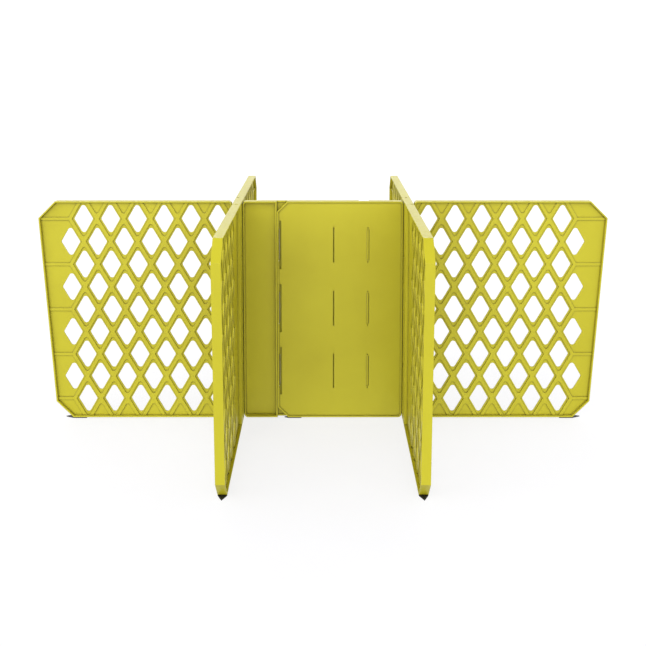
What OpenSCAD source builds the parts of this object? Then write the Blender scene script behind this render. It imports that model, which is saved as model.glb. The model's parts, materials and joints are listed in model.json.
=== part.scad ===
// Crowd control barrier made of two cross-shaped plastic modules that lap and hook
// together in the middle. Origin on the floor at the centre of the barrier,
// +X along the barrier line, -Y towards the front, +Z up. Millimetres.

/* [Overall] */
// Height of a panel from its lower edge to its upper edge
panel_h = 1000; // [700:10:1200]
// Thickness of a panel over its rims
panel_t = 37; // [30:1:50]
// Distance from the middle of the barrier to the centre of a cross
cross_x = 380.7; // [300:0.1:500]
// Reach of an outer wing from the middle, at its upper corner
outer_reach = 1281; // [900:1:1600]
// Reach of a side wing from the barrier line, at its upper corner
side_reach = 900; // [600:1:1200]
// How much a wing's free end leans in between top and bottom
end_lean = 68; // [0:1:120]
// Corner cut at a wing's free end
corner_cut = 76; // [20:1:120]
// Corner radius at an end that meets a hub
inner_round = 16; // [2:1:30]
// Height of the rubber feet under the panels
foot_h = 4; // [2:0.5:12]

/* [Lattice] */
// Spacing of the hole columns in one row
col_pitch = 120.8; // [80:0.1:160]
// Spacing of the hole rows
row_pitch = 104.2; // [70:0.1:140]
// Number of hole rows, odd
rows = 9; // [3:2:13]
// Height of the lowest row above the panel's lower edge
row_z = 85.5; // [60:0.1:140]
// Hole columns in an outer wing
outer_cols = 6; // [2:1:8]
// Hole columns in a side wing
side_cols = 4; // [2:1:6]
// Distance from a wing's upper corner to the centre of the last hole
end_margin = 144; // [100:0.5:200]
// Half width of a hole before its corners are rounded
hole_half = 43; // [20:0.5:55]
// Corner radius at the top and bottom of a hole
hole_tip_r = 12.5; // [2:0.5:16]
// Corner radius at the sides of a hole
hole_side_r = 8; // [1:0.5:12]
// Width of the raised ribs that cross between the holes
rib_w = 14.5; // [6:0.5:20]
// Corner radius at the top and bottom of the recess round a hole
recess_tip_r = 10; // [2:0.5:16]
// Width of the level ribs at a wing's free end
level_w = 12; // [6:0.5:20]
// Thickness of a wing over its raised ribs
rib_t = 16; // [9:1:36]

/* [Shell] */
// Width of the rim round each panel
rim_w = 6; // [3:0.5:12]
// Thickness of the web between the rims
web_t = 7; // [4:0.5:14]
// Thickness of the centre plate's web
plate_web = 5; // [3:0.5:9]
// Recess of the centre plate's web below its rim
plate_recess = 6; // [2:0.5:12]

/* [Hinges] */
// Distance of each hinge axis from the barrier line
hinge_y = 90; // [60:1:140]
// Distance from the outer face to the axis of a hinge set near that face
edge_axis = 8.5; // [7:0.5:14]
// Radius of a hinge pin
pin_r = 3.5; // [2.5:0.1:5]
// Number of knuckle layers, odd
knuckles = 9; // [5:2:13]
// Width of the solid post beside a hinge
post_w = 30; // [24:1:50]

/* [Hooks and slots] */
// Gap between an outer wing and its hub
wing_gap = 10.3; // [6:0.1:20]
// Gap between a centre plate and its hub
plate_gap = 3; // [1:0.1:6]
// Free end of a centre plate, past the middle
lap_reach = 206; // [120:1:260]
// Corner cut at a centre plate's free end
lap_cut = 47; // [20:1:80]
// Position of the spare slots from the middle
spare_slot_x = 48; // [20:1:120]
// Height of a hook slot
slot_h = 161; // [80:1:220]
// Width of a spare slot
slot_w = 5; // [3:0.5:7]

/* [Hidden] */

$fn = 48;
moulded = [0.78, 0.74, 0.22];
steel = [0.62, 0.62, 0.64];
rubber = [0.1, 0.1, 0.1];

half_t = panel_t / 2;
recess_in = rim_w - 2.5;         // recesses start under the rim, so that its wall is one clean face
edge_off = tan(22.5);            // sideways shift of a 45 degree corner cut per unit of inset
gap = 0.35;                      // clearance round the knuckles
cell_half = col_pitch / 2;
cell_slope = row_pitch / cell_half;
tip_angle = atan(1 / cell_slope);  // half the angle at the top and bottom of a diamond
pocket_half = cell_half - rib_w / 2 / sin(atan(cell_slope));
pocket_high = pocket_half * cell_slope;
knuckle_h = panel_h / knuckles;
outer_len = outer_reach - cross_x - half_t - wing_gap;
side_len = side_reach - hinge_y;
lap_gap = 0.3;                   // half of the gap between the two lapped plates
plate_end = cross_x - half_t - plate_gap;
slot_rows = [217, 509, 801];     // heights of the three slot rows above the lower edge
slot_end_r = 3.2;                // radius of the holes above and below a slot
slot_end_z = slot_h / 2 - slot_end_r;
tongue_w = 9;                    // width and height of the tongues at a centre plate's free end
tongue_h = 140;
tongue_sink = 2;                 // how far a tongue stays below the face of the slotted web
hook_room = 0.4;                 // clearance above, below and beside a tongue
hook_gap = 2.4;                  // gap between a tongue and the outer edge of its slot
hook_end_x = lap_reach - 3.7;    // middle of the holes above and below a hook slot
slit_w = 2.6;                    // slit between a free end's rim and its windows
bar_w = 1.2;                     // bar between the slit and the windows
window_w = 8.6;
window_h = 222;
tray_gap = 1.8;                  // gap between a centre plate's free end and the other one's tray
lip_gap = 0.4;                   // the same gap at the lip behind the web that closes it
slot_deep = half_t - 3;          // depth of the cuts for the slots and windows, from 1 above the rim
stiffener_x = [-120, -20, 110];  // upright and level ribs behind a centre plate
stiffener_z = [70, 356, 650, 936];
stiffener_t = 3;
head_r = 6;                      // head of a hinge pin, sunk into the top knuckle
head_h = 1.8;
head_sink = 2;
sole_len = 60;                   // flat part of a foot under a panel's lower edge
toe_len = 38;                    // pointed toe of a foot under a wing's corner cut
plate_toe_len = 18;

// ---------- outlines: x along the panel from its inner end, y up ----------

// Points of an arc
function arc(x, y, r, from, to, steps = 6) =
    [for (i = [0:steps]) let (a = from + (to - from) * i / steps) [x + r * cos(a), y + r * sin(a)]];

// Position of a wing's leaning free end at height z
function end_at(len, z) = len - end_lean * (1 - z / panel_h);

// A quarter turn at a corner of radius round, inset by d: one point where the inset is deeper
function corner(x, y, sx, sy, round, d, from) = d < round
    ? arc(x + sx * round, y + sy * round, round - d, from, from + 90)
    : [[x + sx * d, y + sy * d]];

// Where a wing's free end meets its upper corner cut (up = 1) or its lower one (up = -1)
function cut_end(len, up) = end_at(len, up > 0 ? panel_h - corner_cut : corner_cut);

// A wing's outline, inset by d on every side
function wing_outline(len, from, round, d) = concat(
    corner(from, 0, 1, 1, round, d, 180),
    [[cut_end(len, -1) - corner_cut - edge_off * d, d],
     [cut_end(len, -1) - d, corner_cut + edge_off * d],
     [cut_end(len, 1) - d, panel_h - corner_cut - edge_off * d],
     [cut_end(len, 1) - corner_cut - edge_off * d, panel_h - d]],
    corner(from, panel_h, 1, -1, round, d, 90));

// Rounded upper (up = 1) or lower (up = -1) corner of a diamond centred at (x, z), half as high as high
function round_tip(x, z, high, r, up) =
    arc(x, z + up * (high - r / sin(tip_angle)), r, tip_angle + 90 - up * 90, 270 - up * 90 - tip_angle, 5);

// Rounded right (side = 1) or left (side = -1) corner of a hole
function round_side(x, z, side) =
    let (middle = 90 - side * 90)
    arc(x + side * (hole_half - hole_side_r / cos(tip_angle)), z, hole_side_r,
        middle - tip_angle, middle + tip_angle, 2);

// A diamond hole with rounded corners
function hole(x, z) =
    let (high = hole_half * cell_slope)
    concat(round_side(x, z, 1), round_tip(x, z, high, hole_tip_r, 1),
           round_side(x, z, -1), round_tip(x, z, high, hole_tip_r, -1));

// Half width of a recess centred at height z where it meets the rim
function base_at(z, rim_z) = pocket_half * (1 - abs(rim_z - z) / pocket_high);

// Upper (up = 1) or lower (up = -1) end of a recess, cut off level where it would pass the rim
function pocket_tip(x, z, up) =
    let (rim_z = up > 0 ? panel_h - recess_in : recess_in, base = up * base_at(z, rim_z))
    up * (z - rim_z) + pocket_high > 0 ? [[x + base, rim_z], [x - base, rim_z]]
                                       : round_tip(x, z, pocket_high, recess_tip_r, up);

// The recess between four ribs
function pocket(x, z) =
    concat([[x + pocket_half, z]], pocket_tip(x, z, 1), [[x - pocket_half, z]], pocket_tip(x, z, -1));

// Three-sided recess between two ribs and the upper or lower rim (up = 1 or -1)
function rim_pocket(x, up) =
    let (z = up > 0 ? row_at(rows) : row_at(-1), rim_z = up > 0 ? panel_h - recess_in : recess_in,
         base = up * base_at(z, rim_z))
    concat([[x + base, rim_z], [x - base, rim_z]], round_tip(x, z, pocket_high, recess_tip_r, -up));

// Centres of the holes: the first row and every second one after it stop short of the others
function row_at(k) = row_z + row_pitch * k;
function hole_x(len, cols, k, i) = len - end_margin - col_pitch * i - (k % 2 == 0 ? cell_half : 0);

function holes(len, cols) =
    [for (k = [0:rows - 1]) for (i = [0:cols - 1]) hole(hole_x(len, cols, k, i), row_at(k))];

// The recesses round the holes, apart from the last one in every second row, which joins an end recess
function pockets(len, cols) =
    [for (k = [0:rows - 1]) for (i = [k % 2:cols - 1]) pocket(hole_x(len, cols, k, i), row_at(k))];

function rim_pockets(len, cols) =
    [for (i = [1:cols - 1]) for (up = [-1, 1]) rim_pocket(len - end_margin - col_pitch * i, up)];

// Recesses at the leaning end: each runs from the rim round the last hole of a row, between level ribs
function end_pockets(len) =
    let (half = level_w / 2, x = len - end_margin, tip = x - pocket_half,
         back = tip + (row_pitch - half) / cell_slope)
    concat(
        [for (k = [1:2:rows - 2]) let (lo = row_at(k - 1) + half, hi = row_at(k + 1) - half)
            [[end_at(len, lo) - recess_in, lo], [end_at(len, hi) - recess_in, hi], [back, hi],
             [tip, row_at(k)], [back, lo]]],
        [top_corner_pocket(len, back, row_at(rows - 1) + half, panel_h - recess_in),
         low_corner_pocket(len, back, row_z - half, recess_in)]);

// The recesses that the corner cuts shorten, between the last level rib and the upper or lower rim
function top_corner_pocket(len, back, level, rim_z) =
    let (cut = cut_end(len, 1) - corner_cut - edge_off * recess_in)
    [[cut + rim_z - level, level], [cut, rim_z], [back - (rim_z - level) / cell_slope, rim_z], [back, level]];

function low_corner_pocket(len, back, level, rim_z) =
    let (cut = cut_end(len, -1) - corner_cut - edge_off * recess_in)
    [[min(cut + level - rim_z, end_at(len, level) - recess_in), level], [back, level],
     [back - (level - rim_z) / cell_slope, rim_z], [cut, rim_z]];

// Recesses beside the inner end of an outer wing
function inner_pockets(len, cols) =
    let (x = hole_x(len, cols, 1, cols), edge = x + pocket_half, high = (edge - recess_in) * cell_slope,
         top = panel_h - recess_in, up_x = x + base_at(row_at(rows), top),
         low_x = x + base_at(row_at(-1), recess_in))
    concat(
        [for (k = [1:2:rows - 2]) let (z = row_at(k))
            [[recess_in, z - high], [edge, z], [recess_in, z + high]]],
        [concat(corner(0, panel_h, 1, -1, inner_round, recess_in, 90),
                [[recess_in, top - (up_x - recess_in) * cell_slope], [up_x, top]]),
         concat(corner(0, 0, 1, 1, inner_round, recess_in, 180),
                [[low_x, recess_in], [recess_in, recess_in + (low_x - recess_in) * cell_slope]])]);

// The plain recess of a side wing, between its post and the zigzag of the first ribs
function plain_pocket(len, cols) =
    let (near = hole_x(len, cols, 0, cols) + pocket_half, far = hole_x(len, cols, 1, cols) + pocket_half)
    [concat([[post_w - 2, recess_in]], [[near + (row_z - recess_in) / cell_slope, recess_in]],
        [for (k = [0:rows - 1]) [k % 2 == 0 ? near : far, row_at(k)]],
        [[near + (panel_h - recess_in - row_at(rows - 1)) / cell_slope, panel_h - recess_in],
         [post_w - 2, panel_h - recess_in]])];

// ---------- building blocks ----------

function sum_to(lengths, n) = n == 0 ? 0 : lengths[n - 1] + sum_to(lengths, n - 1);

// A flat plate with an outer loop and any number of holes in it
module plate(outer, loops) {
    all = concat([outer], loops);
    lengths = [for (l = all) len(l)];
    polygon(points = [for (l = all) each l],
            paths = [for (i = [0:len(all) - 1]) [for (j = [0:lengths[i] - 1]) sum_to(lengths, i) + j]]);
}

// Stands a flat outline up, from y0 to y1
module stand(y0, y1) translate([0, y1, 0]) rotate([90, 0, 0]) linear_extrude(height = y1 - y0) children();

// A rimmed wing panel with crossing ribs and diamond holes
module lattice_panel(len, cols, from, round, extra) {
    stand(-half_t, half_t)
        plate(wing_outline(len, from, round, 0), [wing_outline(len, from, round, rim_w)]);
    stand(-rib_t / 2, rib_t / 2)
        plate(wing_outline(len, from, round, 1.2),
              concat(pockets(len, cols), rim_pockets(len, cols), end_pockets(len), extra));
    stand(-web_t / 2, web_t / 2) plate(wing_outline(len, from, round, 3), holes(len, cols));
}

// Knuckle layers at hinge height: hub = true for the hub's layers, false for the wing's
module layers(hub, trim) {
    for (k = [0:knuckles - 1]) if ((k % 2 == 0) == hub)
        translate([0, 0, k * knuckle_h + trim]) linear_extrude(height = knuckle_h - 2 * trim) children();
}

// Plan of the space a knuckle of radius r needs, reaching towards +x
module knuckle_space(r) {
    circle(r = r + gap);
    translate([0, -r - 1]) square([r + gap, r + 1]);
}

// A side wing: hinge axis on Z, panel along +X, outer face at y = -axis
module side_wing(axis) {
    difference() {
        union() {
            translate([0, half_t - axis, 0])
                lattice_panel(side_len, side_cols, lap_gap, 1, plain_pocket(side_len, side_cols));
            translate([lap_gap, -axis, 0]) cube([post_w, panel_t, panel_h]);
            layers(false, 0.3) circle(r = axis);
        }
        layers(true, -0.3) knuckle_space(axis);
        translate([0, 0, -1]) cylinder(r = pin_r + 0.08, h = panel_h + 2);
    }
}

// One half of a hub, from the barrier line to a hinge: axis on Z, hub body towards -X
module hub_half(axis) {
    column = 26;
    difference() {
        union() {
            translate([-hinge_y, -axis, 0]) cube([hinge_y, panel_t, panel_h]);
            layers(true, 0) circle(r = axis);
        }
        layers(false, 0) mirror([1, 0]) knuckle_space(axis);
        translate([0, 0, 9]) cylinder(r = pin_r + 0.02, h = panel_h);
        translate([0, 0, panel_h - head_sink - head_h - 0.2]) cylinder(r = head_r + 0.1, h = 2 * panel_t);
        for (k = [0:3]) for (side = [-1, 1])
            translate([column - hinge_y, side > 0 ? half_t + web_t / 2 - axis : -axis - 1,
                       rim_w + k * (panel_h - rim_w) / 4])
                cube([hinge_y - column - post_w, half_t - web_t / 2 + 1, (panel_h - rim_w) / 4 - rim_w]);
    }
}

hook_rows = [132, 376, 620, 864];            // heights of an outer wing's hooks
hook_t = 12;
hook_h = 40;
hook_drop = 20;                              // how far a hook's end hangs down behind the hub's wall
hook_end = 6.6;                              // thickness of that end
hook_wall = 7;                               // thickness of the hub's wall at the hooks
lift = 22;                                   // travel that frees the hooks
tab_rows = [for (i = [0:6]) 132 + 122 * i];  // heights of a centre plate's tabs
tab_h = 24;
tab_t = 24;
tab_in = 14;                                 // depth of a tab in the hub
spline_t = 5;                                // strip that closes the gap between hub and centre plate
spline_in = 8;                               // its depth in the hub
spline_end = 12;                             // distance from its ends to the panel's edges
fit = 0.3;                                   // clearance round hooks, tabs and splines

// The hub of the left module, centred on Z, outer face at -X
module hub() {
    difference() {
        union() {
            translate([0, -hinge_y, 0]) rotate([0, 0, -90]) hub_half(half_t);
            translate([edge_axis - half_t, hinge_y, 0]) mirror([0, 1, 0]) rotate([0, 0, -90])
                hub_half(edge_axis);
        }
        for (z = hook_rows) {
            translate([-half_t - 1, -hook_t / 2 - fit, z - fit])
                cube([hook_wall + 1 + fit, hook_t + 2 * fit, hook_h + lift + 2]);
            translate([hook_wall - half_t, -hook_t / 2 - fit, z - hook_drop - 1])
                cube([hook_end + 1.4, hook_t + 2 * fit, hook_h + hook_drop + lift + 3]);
        }
        for (z = tab_rows)
            translate([half_t - tab_in - fit, -tab_t / 2 - fit, z - tab_h / 2 - fit])
                cube([tab_in + 1, tab_t + 2 * fit, tab_h + 2 * fit]);
        translate([half_t - spline_in - fit, -spline_t / 2 - fit, spline_end - fit])
            cube([spline_in + 1, spline_t + 2 * fit, panel_h - 2 * spline_end + 2 * fit]);
    }
}

// An outer wing from its inner end along +X, with hooks reaching back over the hub's wall
module outer_wing() {
    lattice_panel(outer_len, outer_cols, 0, inner_round, inner_pockets(outer_len, outer_cols));
    reach = wing_gap + hook_wall + fit + hook_end;
    for (z = hook_rows) translate([-reach, -hook_t / 2, z]) {
        cube([reach + rim_w, hook_t, hook_h]);
        translate([0, 0, -hook_drop]) cube([hook_end, hook_t, hook_drop + 1]);
    }
}

// Outline of a centre plate, inset by d: free end at -lap_reach, hub end rounded
function plate_outline(d) = concat(
    [[lap_cut - lap_reach + edge_off * d, d]],
    corner(plate_end, 0, -1, 1, inner_round, d, 270),
    corner(plate_end, panel_h, -1, -1, inner_round, d, 0),
    [[lap_cut - lap_reach + edge_off * d, panel_h - d], [d - lap_reach, panel_h - lap_cut - edge_off * d],
     [d - lap_reach, lap_cut + edge_off * d]]);

// Outline of the full-thickness part of a centre plate beside its hub
function tray_outline(d) = concat(
    [[lap_reach + tray_gap + d, d]],
    corner(plate_end, 0, -1, 1, inner_round, d, 270),
    corner(plate_end, panel_h, -1, -1, inner_round, d, 0),
    [[lap_reach + tray_gap + d, panel_h - d]]);

// A slot through the web from x0 to x1, with a small round hole at end_x above and below it
module slot(x0, x1, z, high, end_x) {
    translate([x0, -half_t - 1, z - high]) cube([x1 - x0, slot_deep, 2 * high]);
    for (side = [-1, 1]) translate([end_x, slot_deep - half_t - 1, z + side * slot_end_z])
        rotate([90, 0, 0]) cylinder(r = slot_end_r, h = slot_deep);
}

// The right module's centre plate: lap in front, full thickness beside its hub
module centre_plate() {
    web_y = plate_recess - half_t;
    difference() {
        union() {
            stand(-half_t, -lap_gap) plate(plate_outline(0), [plate_outline(rim_w)]);
            stand(web_y, half_t) plate(tray_outline(0), [tray_outline(rim_w)]);
            stand(web_y, web_y + plate_web) polygon(plate_outline(1));
            translate([lap_reach + lip_gap, web_y + 1, 1])
                cube([tray_gap - lip_gap + 1, -web_y - 1 - lap_gap, panel_h - 2]);
            for (x = stiffener_x) translate([x, web_y + 1, rim_w - 1])
                cube([stiffener_t, -web_y - 1 - lap_gap, panel_h - 2 * rim_w + 2]);
            for (z = stiffener_z) translate([1 - lap_reach, web_y + 1, z])
                cube([2 * lap_reach + tray_gap, -web_y - 1 - lap_gap, stiffener_t]);
        }
        for (z = slot_rows) {
            translate([rim_w - lap_reach, -half_t - 1, z - slot_h / 2]) cube([slit_w, slot_deep, slot_h]);
            translate([rim_w + slit_w + bar_w - lap_reach, -half_t - 1, z - window_h / 2])
                cube([window_w, slot_deep, window_h]);
            slot(spare_slot_x - slot_w / 2, spare_slot_x + slot_w / 2, z, slot_end_z, spare_slot_x);
            slot(lap_reach - tongue_w - hook_room, lap_reach + hook_gap, z,
                 tongue_h / 2 + hook_room, hook_end_x);
        }
    }
    tongue_y = web_y + plate_web + 1.5;
    for (z = slot_rows) translate([-lap_reach, tongue_y, z - tongue_h / 2])
        cube([tongue_w, -web_y - tongue_sink - tongue_y, tongue_h]);
    for (z = tab_rows) translate([plate_end - rim_w, -tab_t / 2, z - tab_h / 2])
        cube([rim_w + plate_gap + tab_in, tab_t, tab_h]);
    translate([plate_end - rim_w, -spline_t / 2, spline_end])
        cube([rim_w + plate_gap + spline_in, spline_t, panel_h - 2 * spline_end]);
}

// A hinge pin standing in the knuckles, with a flat head
module pin() {
    head_z = panel_h - head_sink - head_h;
    translate([0, 0, 10]) cylinder(r = pin_r, h = head_z - 9);
    translate([0, 0, head_z]) cylinder(r = head_r, h = head_h);
}

// A rubber foot under a corner: sole up to x = 0, pointed toe beyond it
module foot(sole, width, toe) {
    linear_extrude(height = foot_h)
        polygon([[-sole, -width / 2], [0, -width / 2], [toe, 0], [0, width / 2], [-sole, width / 2]]);
}

// ---------- placing ----------

module on_feet() translate([0, 0, foot_h]) children();
module opposite() rotate([0, 0, 180]) children();

// Hinge axes of the left module: in front in the middle of the hub, at the back near its outer face
module at_front_hinge() translate([-cross_x, -hinge_y, 0]) rotate([0, 0, -90]) children();
module at_back_hinge()
    translate([edge_axis - cross_x - half_t, hinge_y, 0]) mirror([0, 1, 0]) rotate([0, 0, -90]) children();

module wing_foot() foot(sole_len, panel_t - 1, toe_len);
side_foot_x = cut_end(side_len, -1) - corner_cut;
outer_foot_x = cut_end(outer_len, -1) - corner_cut;

// ---------- sub-parts ----------

module left_hub() color(moulded) on_feet() translate([-cross_x, 0, 0]) hub();
module right_hub() color(moulded) opposite() on_feet() translate([-cross_x, 0, 0]) hub();

module right_centre_plate() color(moulded) on_feet() centre_plate();
module left_centre_plate() color(moulded) opposite() on_feet() centre_plate();

module wing_place() translate([-cross_x - half_t - wing_gap, 0, 0]) rotate([0, 0, 180]) children();
module left_outer_wing() color(moulded) on_feet() wing_place() outer_wing();
module right_outer_wing() color(moulded) opposite() on_feet() wing_place() outer_wing();

module left_front_wing() color(moulded) on_feet() at_front_hinge() side_wing(half_t);
module right_back_wing() color(moulded) opposite() on_feet() at_front_hinge() side_wing(half_t);
module left_back_wing() color(moulded) on_feet() at_back_hinge() side_wing(edge_axis);
module right_front_wing() color(moulded) opposite() on_feet() at_back_hinge() side_wing(edge_axis);

module left_front_pin() color(steel) on_feet() at_front_hinge() pin();
module right_back_pin() color(steel) opposite() on_feet() at_front_hinge() pin();
module left_back_pin() color(steel) on_feet() at_back_hinge() pin();
module right_front_pin() color(steel) opposite() on_feet() at_back_hinge() pin();

module left_outer_foot() color(rubber) wing_place() translate([outer_foot_x, 0, 0]) wing_foot();
module right_outer_foot() color(rubber) opposite() wing_place() translate([outer_foot_x, 0, 0]) wing_foot();
module left_front_foot() color(rubber) at_front_hinge() translate([side_foot_x, 0, 0]) wing_foot();
module right_back_foot() color(rubber) opposite() at_front_hinge() translate([side_foot_x, 0, 0]) wing_foot();
module left_back_foot()
    color(rubber) at_back_hinge() translate([side_foot_x, half_t - edge_axis, 0]) wing_foot();
module right_front_foot()
    color(rubber) opposite() at_back_hinge() translate([side_foot_x, half_t - edge_axis, 0]) wing_foot();

module plate_foot()
    translate([lap_cut - lap_reach, -(half_t + lap_gap) / 2, 0])
        mirror([1, 0, 0]) foot(sole_len, half_t - 1.5, plate_toe_len);
module right_plate_foot() color(rubber) plate_foot();
module left_plate_foot() color(rubber) opposite() plate_foot();

left_hub();
left_centre_plate();
left_outer_wing();
left_front_wing();
left_back_wing();
left_front_pin();
left_back_pin();
left_plate_foot();
left_outer_foot();
left_front_foot();
left_back_foot();
right_hub();
right_centre_plate();
right_outer_wing();
right_front_wing();
right_back_wing();
right_front_pin();
right_back_pin();
right_plate_foot();
right_outer_foot();
right_front_foot();
right_back_foot();
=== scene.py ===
"""Crowd control barrier: looks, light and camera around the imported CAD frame.

Metres, +Z up, -Y to the front.
"""

import json
import math

import bpy
from mathutils import Euler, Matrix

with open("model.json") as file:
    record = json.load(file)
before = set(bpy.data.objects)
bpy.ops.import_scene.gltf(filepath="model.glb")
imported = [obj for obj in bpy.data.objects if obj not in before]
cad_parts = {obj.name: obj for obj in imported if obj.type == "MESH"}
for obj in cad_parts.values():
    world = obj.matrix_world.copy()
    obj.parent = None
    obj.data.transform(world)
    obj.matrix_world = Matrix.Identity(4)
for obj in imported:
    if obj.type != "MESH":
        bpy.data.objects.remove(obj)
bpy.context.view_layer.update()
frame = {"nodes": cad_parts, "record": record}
scene = bpy.context.scene

# ---------- camera ----------

CAMERA_DISTANCE = 4.117   # from the barrier line
CAMERA_HEIGHT = 1.687
CAMERA_LENS = 51.67       # mm
SENSOR_WIDTH = 36.0       # mm
CAMERA_PITCH = 5.8        # degrees below level
CAMERA_SHIFT = -0.28      # of the frame's width, towards the floor
VIEW_END = 200.0

camera_data = bpy.data.cameras.new("view")
camera_data.lens = CAMERA_LENS
camera_data.sensor_width = SENSOR_WIDTH
camera_data.shift_y = CAMERA_SHIFT
camera_data.clip_end = VIEW_END
camera = bpy.data.objects.new("view", camera_data)
camera.location = (0.0, -CAMERA_DISTANCE, CAMERA_HEIGHT)
camera.rotation_euler = Euler((math.radians(90.0 - CAMERA_PITCH), 0.0, 0.0))
scene.collection.objects.link(camera)
scene.camera = camera

# ---------- node helpers ----------

BEVEL_SAMPLES = 4
CORNER_SAMPLES = 8
FLAT_DOT = 0.97           # soft normal against true normal: above this a place is flat
EDGE_DOT = 0.75           # and below this it is a sharp edge
OPEN_VIEW = 0.95          # share of the view that is free: above this a face is open
CORNER_VIEW = 0.35        # and below this it is deep in a corner


def grey(v):
    return (v, v, v, 1.0)


class Tree:
    """A material's node tree with short calls for adding and joining nodes."""

    def __init__(self, name):
        self.material = bpy.data.materials.new(name)
        self.material.use_nodes = True
        self.nodes = self.material.node_tree.nodes
        self.links = self.material.node_tree.links
        self.nodes.clear()
        self.output = self.nodes.new("ShaderNodeOutputMaterial")
        self.shader = self.nodes.new("ShaderNodeBsdfPrincipled")
        self.links.new(self.shader.outputs[0], self.output.inputs["Surface"])

    def put(self, value, socket):
        """Joins an output to a socket, or sets the socket's own value. None leaves it alone."""
        if isinstance(value, bpy.types.NodeSocket):
            self.links.new(value, socket)
        elif value is not None:
            socket.default_value = value

    def node(self, kind, **inputs):
        """A new node. Its inputs are given by name, with _ for a space."""
        new = self.nodes.new(kind)
        for key, value in inputs.items():
            self.put(value, new.inputs[key.replace("_", " ")])
        return new

    def maths(self, operation, a, b):
        new = self.nodes.new("ShaderNodeMath")
        new.operation = operation
        self.put(a, new.inputs[0])
        self.put(b, new.inputs[1])
        return new.outputs[0]

    def vector_maths(self, operation, a, b):
        new = self.nodes.new("ShaderNodeVectorMath")
        new.operation = operation
        self.put(a, new.inputs[0])
        self.put(b, new.inputs[1])
        return new

    def noise(self, where, scale, detail=3.0, roughness=0.5):
        new = self.node("ShaderNodeTexNoise", Vector=where, Scale=scale, Detail=detail,
                        Roughness=roughness)
        return new.outputs["Fac"]

    def span(self, value, low, high, to=(0.0, 1.0)):
        """Maps low..high to the range in to, clamped."""
        new = self.nodes.new("ShaderNodeMapRange")
        for socket, number in zip(new.inputs, (value, low, high, *to)):
            self.put(number, socket)
        return new.outputs[0]

    def mix(self, amount, a, b):
        """Colour a at amount 0, colour b at amount 1."""
        new = self.nodes.new("ShaderNodeMix")
        new.data_type = "RGBA"
        for index, value in ((0, amount), (6, a), (7, b)):   # the factor and the two colour sockets
            self.put(value, new.inputs[index])
        return new.outputs[2]

    def bump(self, height, strength, distance, normal=None):
        new = self.node("ShaderNodeBump", Height=height, Strength=strength, Distance=distance,
                        Normal=normal)
        return new.outputs[0]

    def place(self):
        """Object coordinates, which are the frame's metres."""
        return self.nodes.new("ShaderNodeTexCoord").outputs["Object"]

    def rounded(self, radius):
        """The normal with edges rounded to radius."""
        new = self.node("ShaderNodeBevel", Radius=radius)
        new.samples = BEVEL_SAMPLES
        return new.outputs[0]

    def edges(self, radius):
        """1 on sharp edges and corners, 0 on flats."""
        true_normal = self.nodes.new("ShaderNodeNewGeometry").outputs["Normal"]
        match = self.vector_maths("DOT_PRODUCT", self.rounded(radius), true_normal)
        return self.span(match.outputs["Value"], FLAT_DOT, EDGE_DOT)

    def corners(self, reach):
        """1 deep in inside corners, 0 on open faces. Used as the mask of the painted shade in corners.
        """
        near = self.node("ShaderNodeAmbientOcclusion", Distance=reach)
        near.samples = CORNER_SAMPLES
        return self.span(near.outputs["AO"], OPEN_VIEW, CORNER_VIEW)

    def finish(self, **inputs):
        """Sets the shader's inputs and gives the material."""
        for key, value in inputs.items():
            self.put(value, self.shader.inputs[key.replace("_", " ")])
        return self.material


# ---------- moulded plastic ----------

PLASTIC = (0.50, 0.455, 0.017, 1.0)
PLASTIC_DEEP = (0.45, 0.40, 0.012, 1.0)
PLASTIC_SCUFF_AND_HIGHLIGHT = (0.66, 0.62, 0.14, 1.0)
# colour of the painted shade in inside corners
PLASTIC_PAINTED_SHADE = (0.11, 0.085, 0.004, 1.0)
PLASTIC_IOR = 1.49
SHEEN = 0.42
EDGE_ROUND = 0.0014
RUB_AND_HIGHLIGHT_WIDTH = 0.0025        # how far edges are rubbed and carry the painted highlight
RUB_AND_HIGHLIGHT_COLOUR = 0.55
RUB_ROUGHNESS = 0.15
CORNER_SHADE_REACH = 0.008           # reach of the painted shade along inside corners
CORNER_SHADE_STRENGTH = 0.86
PIECE_SHIFT = (3.7, 1.3, 2.1)   # moves the patterns from one piece to the next

# Scales of the patterns, from a broad drift in tone down to the grain of the mould
FLOW = 2.6
CLOUD = 14.0
RUB = 38.0
SCRATCH = 55.0
PEEL = 120.0
GRAIN = 900.0


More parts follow.
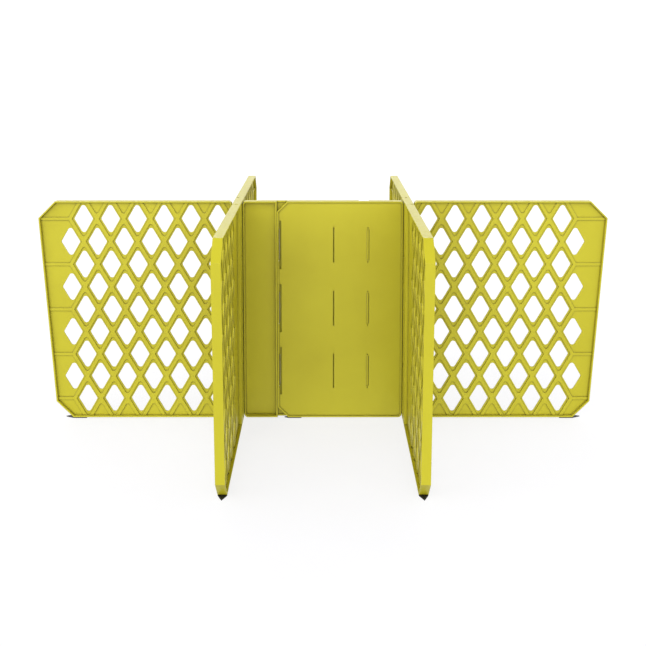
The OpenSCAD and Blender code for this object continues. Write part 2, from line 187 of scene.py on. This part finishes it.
def moulded_plastic(name, number):
    """Yellow-green plastic: cloudy tone, rubbed edges lightened as wear and as a painted edge highlight,
    painted shade in the corners, fine grain.
    """
    t = Tree(name)
    here = t.vector_maths("ADD", t.place(), [number * step for step in PIECE_SHIFT]).outputs[0]
    colour = t.mix(t.span(t.noise(here, FLOW, 4.0), 0.35, 0.68), PLASTIC_DEEP, PLASTIC)
    colour = t.mix(t.span(t.noise(here, CLOUD), 0.3, 0.75, to=(0.0, 0.25)), colour, PLASTIC)
    patches = t.span(t.noise(here, RUB, 5.0, 0.65), 0.42, 0.68)
    rub_and_highlight = t.maths("MULTIPLY", t.edges(RUB_AND_HIGHLIGHT_WIDTH), patches)
    # rubbed wear on the edges, lighter in patches; this lighter colour is also a painted highlight along
    # rims and edges
    colour = t.mix(t.maths("MULTIPLY", rub_and_highlight, RUB_AND_HIGHLIGHT_COLOUR), colour, PLASTIC_SCUFF_AND_HIGHLIGHT)
    # painted shade: inside corners are darkened towards a dark brown where shade would fall
    colour = t.mix(t.maths("MULTIPLY", t.corners(CORNER_SHADE_REACH), CORNER_SHADE_STRENGTH), colour, PLASTIC_PAINTED_SHADE)
    rough = t.span(t.noise(here, SCRATCH, 6.0, 0.7), 0.3, 0.75, to=(0.34, 0.47))
    rough = t.maths("ADD", rough, t.maths("MULTIPLY", rub_and_highlight, RUB_ROUGHNESS))
    normal = t.bump(t.noise(here, PEEL, 2.0), 0.12, 0.0008, t.rounded(EDGE_ROUND))
    normal = t.bump(t.noise(here, GRAIN, 2.0), 0.18, 0.00025, normal)
    return t.finish(Base_Color=colour, Roughness=rough, Normal=normal, IOR=PLASTIC_IOR,
                    Specular_IOR_Level=SHEEN)


# ---------- rubber and steel ----------

RUBBER = (0.004, 0.004, 0.004, 1.0)
RUBBER_DUST = (0.02, 0.019, 0.018, 1.0)
DUST_COLOUR = 0.5
DUST = 45.0               # scales of the dust patches, the rubber's grain and the pins' turning marks
RUBBER_GRAIN = 700.0
TURNING = 260.0
STEEL_DARK = 0.42
STEEL_LIGHT = 0.58


def rubber():
    """Near-black rubber with a little dust."""
    t = Tree("foot_rubber")
    here = t.place()
    dust = t.span(t.noise(here, DUST, 5.0, 0.6), 0.45, 0.75)
    colour = t.mix(t.maths("MULTIPLY", dust, DUST_COLOUR), RUBBER, RUBBER_DUST)
    rough = t.span(dust, 0.0, 1.0, to=(0.55, 0.8))
    normal = t.bump(t.noise(here, RUBBER_GRAIN), 0.35, 0.0004)
    return t.finish(Base_Color=colour, Roughness=rough, Normal=normal)


def steel():
    """Bright turned steel."""
    t = Tree("pin_steel")
    turned = t.noise(t.place(), TURNING)
    colour = t.mix(t.span(turned, 0.3, 0.7), grey(STEEL_DARK), grey(STEEL_LIGHT))
    rough = t.span(turned, 0.25, 0.75, to=(0.28, 0.42))
    normal = t.bump(turned, 0.15, 0.0002)
    return t.finish(Base_Color=colour, Roughness=rough, Normal=normal, Metallic=1.0)


# ---------- CAD nodes: soft edges and finishes ----------

SMALL_ROUND = 0.0006      # edge radius on feet and pins
WELD_GAP = 0.00002
FLAT_ANGLE = 0.5          # degrees: faces closer in angle than this are one face
SHARP_ANGLE = 32.0        # degrees: edges sharper than this are rounded


def soften(node, radius):
    """Rounds a CAD node's sharp edges and shades its flats as flat."""
    weld = node.modifiers.new("weld", "WELD")
    weld.merge_threshold = WELD_GAP
    flats = node.modifiers.new("flats", "DECIMATE")
    flats.decimate_type = "DISSOLVE"
    flats.angle_limit = math.radians(FLAT_ANGLE)
    bevel = node.modifiers.new("soft_edges", "BEVEL")
    bevel.width = radius
    bevel.segments = 2
    bevel.limit_method = "ANGLE"
    bevel.angle_limit = math.radians(SHARP_ANGLE)
    bevel.use_clamp_overlap = True
    shading = node.modifiers.new("flat_faces", "WEIGHTED_NORMAL")
    shading.weight = 100
    for face in node.data.polygons:
        face.use_smooth = True


finishes = {"foot_rubber": rubber(), "pin_steel": steel()}
slots = {part["node"]: part["material_slot"] for part in frame["record"]["subparts"]}
for number, (name, node) in enumerate(sorted(frame["nodes"].items())):
    slot = slots[name]
    if slot == "moulded_plastic":
        finish = moulded_plastic("plastic_" + name, number)
        soften(node, EDGE_ROUND)
    else:
        finish = finishes[slot]
        soften(node, SMALL_ROUND)
    node.data.materials.clear()
    node.data.materials.append(finish)

# ---------- floor ----------

FLOOR_SIZE = 120.0
FLOOR_TONE = 0.2
FLOOR_MOTTLE = 0.01
FLOOR_PATCH = 3.0                     # scale of the mottling
FLOOR_GLOW = 0.76
COOL_WHITE = (1.0, 1.0, 1.035, 1.0)   # offsets the yellow light that the plastic throws on the floor


def pale_floor():
    """A light table: most of its brightness is its own, so that colours and shadows on it stay faint."""
    t = Tree("pale_floor")
    patches = t.noise(t.place(), FLOOR_PATCH, 4.0)
    colour = t.mix(patches, grey(FLOOR_TONE - FLOOR_MOTTLE), grey(FLOOR_TONE + FLOOR_MOTTLE))
    return t.finish(Base_Color=colour, Roughness=0.8, Emission_Color=COOL_WHITE,
                    Emission_Strength=FLOOR_GLOW)


bpy.ops.mesh.primitive_plane_add(size=FLOOR_SIZE)
floor = bpy.context.object
floor.name = "floor"
floor.data.materials.append(pale_floor())
floor.visible_diffuse = False
floor.visible_glossy = False
floor.visible_shadow = False

# ---------- light ----------

# The room as a light: sine of the height above the horizon, brightness
ROOM_LEVELS = ((-0.15, 0.66), (0.15, 2.26), (1.0, 0.2))
ROOM_LIGHT = max(brightness for level, brightness in ROOM_LEVELS)
ROOM_SEEN = 1.1           # a little over white, so that the background stays white


def sun(name, strength, spread, tilt, turn):
    """A soft sun. Degrees: spread is its width in the sky, tilt leans it from straight overhead
    towards the viewer, and turn swings it round the vertical, to the left where it is negative."""
    data = bpy.data.lights.new(name, "SUN")
    data.energy = strength
    data.angle = math.radians(spread)
    light = bpy.data.objects.new(name, data)
    light.rotation_euler = Euler((math.radians(tilt), 0.0, math.radians(turn)))
    scene.collection.objects.link(light)


def ramp_place(level):
    """Where a level from -1 to 1 lies on a ramp from 0 to 1."""
    return (level + 1.0) / 2.0


def studio_world():
    """White to the camera. As a light its brightness follows ROOM_LEVELS."""
    world = bpy.data.worlds.new("studio")
    world.use_nodes = True
    nodes, links = world.node_tree.nodes, world.node_tree.links
    nodes.clear()
    seen = nodes.new("ShaderNodeBackground")
    seen.inputs["Color"].default_value = grey(1.0)
    seen.inputs["Strength"].default_value = ROOM_SEEN
    where = nodes.new("ShaderNodeTexCoord")
    axes = nodes.new("ShaderNodeSeparateXYZ")
    links.new(where.outputs["Generated"], axes.inputs[0])
    height = nodes.new("ShaderNodeMapRange")
    height.inputs["From Min"].default_value = -1.0
    links.new(axes.outputs["Z"], height.inputs["Value"])
    ramp = nodes.new("ShaderNodeValToRGB")
    links.new(height.outputs[0], ramp.inputs[0])
    stops = ramp.color_ramp.elements
    stops.new(ramp_place(0.0))
    for stop, (level, brightness) in zip(stops, ROOM_LEVELS):
        stop.position = ramp_place(level)
        stop.color = grey(brightness / ROOM_LIGHT)
    lit = nodes.new("ShaderNodeBackground")
    lit.inputs["Strength"].default_value = ROOM_LIGHT
    links.new(ramp.outputs[0], lit.inputs["Color"])
    path = nodes.new("ShaderNodeLightPath")
    both = nodes.new("ShaderNodeMixShader")
    out = nodes.new("ShaderNodeOutputWorld")
    links.new(path.outputs["Is Camera Ray"], both.inputs[0])
    links.new(lit.outputs[0], both.inputs[1])
    links.new(seen.outputs[0], both.inputs[2])
    links.new(both.outputs[0], out.inputs["Surface"])
    return world


sun("front", strength=0.86, spread=60.0, tilt=62.0, turn=-12.0)
sun("left", strength=0.48, spread=35.0, tilt=58.0, turn=-58.0)
scene.world = studio_world()
scene.view_settings.view_transform = "Standard"
scene.view_settings.look = "None"
